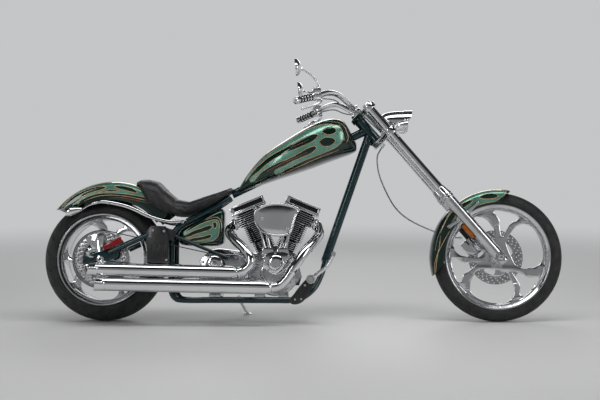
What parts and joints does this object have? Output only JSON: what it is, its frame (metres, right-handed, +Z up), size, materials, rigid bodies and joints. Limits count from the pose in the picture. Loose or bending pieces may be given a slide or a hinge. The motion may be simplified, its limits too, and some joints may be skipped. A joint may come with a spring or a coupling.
{
  "type": "chopper motorcycle",
  "caption": "Long-fork V-twin chopper motorcycle with wide rear tyre, leaning on its side stand; wheels spin, the fork steers and the stand folds.",
  "frame": {"origin": "on the ground under the middle of the whole machine as it leans on its stand", "axes": "+X forwards, +Y to the rider's left, which is the side it leans to, +Z up"},
  "size_m": [2.7509, 0.8861, 1.3779],
  "materials": {
    "body_paint": "deep green-black lacquer with pale green flames, high gloss",
    "frame_paint": "dark teal gloss",
    "black_coat": "satin black",
    "black_fins": "black with machined fin edges",
    "chrome": "polished chrome",
    "polished_alloy": "polished cast aluminium",
    "wheel_alloy": "mirror-polished billet aluminium",
    "brake_steel": "ground brake steel",
    "tyre": "satin road tyre",
    "belt_rubber": "matt toothed belt",
    "hose_cover": "clear-coated braided hose",
    "grip_rubber": "ribbed black rubber",
    "seat_leather": "satin black leather",
    "clear_lens": "clear lens",
    "red_lens": "red reflector and lens",
    "amber_lens": "amber reflector and lens",
    "mirror_glass": "mirror"
  },
  "bodies": {
    "chassis": {"frame_backbone": "frame_paint", "frame_downtube": "frame_paint", "right_frame_rail": "frame_paint", "left_frame_rail": "frame_paint", "swingarm_housings": "black_coat", "swingarm": "frame_paint", "rear_axle": "chrome", "crankcase": "polished_alloy", "cam_cover": "chrome", "primary_cover": "chrome", "gearbox": "polished_alloy", "front_cylinder": "black_fins", "rear_cylinder": "black_fins", "rocker_boxes": "chrome", "pushrod_tubes": "chrome", "carburettor": "polished_alloy", "air_cleaner": "chrome", "front_exhaust": "chrome", "rear_exhaust": "chrome", "oil_tank": "body_paint", "fuel_tank": "body_paint", "fuel_cap": "chrome", "seat": "seat_leather", "rear_fender": "body_paint", "fender_struts": "chrome", "rear_turn_signals": "chrome", "drive_belt": "belt_rubber", "rear_caliper": "chrome", "right_foot_control": "chrome", "left_foot_control": "chrome"},
    "fork": {"steering_trees": "chrome", "right_fork_leg": "chrome", "left_fork_leg": "chrome", "handlebar": "chrome", "hand_controls": "chrome", "mirrors": "chrome", "front_lamps": "chrome", "front_fender": "body_paint", "front_axle": "chrome", "front_caliper": "chrome", "brake_hose": "hose_cover"},
    "front_wheel": {"front_tyre": "tyre", "front_rim": "wheel_alloy", "front_disc": "brake_steel"},
    "rear_wheel": {"rear_tyre": "tyre", "rear_rim": "wheel_alloy", "rear_pulley": "chrome"},
    "side_stand": {"side_stand": "chrome"}
  },
  "joints": [
    {"name": "steering", "type": "hinge", "parent": "chassis", "child": "fork", "pos_m": [0.34733, -0.02666, 1.01222], "axis": [-0.6559, 0.0789, 0.7507], "range_deg": [-28, 28]},
    {"name": "front_wheel_spin", "type": "hinge", "parent": "fork", "child": "front_wheel", "pos_m": [1.03358, -0.09725, 0.34043], "axis": [0, 0.9945, -0.1045], "continuous": true},
    {"name": "rear_wheel_spin", "type": "hinge", "parent": "chassis", "child": "rear_wheel", "pos_m": [-1.05142, -0.09913, 0.32305], "axis": [0, 0.9945, -0.1045], "continuous": true},
    {"name": "side_stand_fold", "type": "hinge", "parent": "chassis", "child": "side_stand", "pos_m": [-0.35148, 0.04024, 0.09908], "axis": [0.0728, 0.6445, 0.7611], "range_deg": [0, 98]}
  ]
}
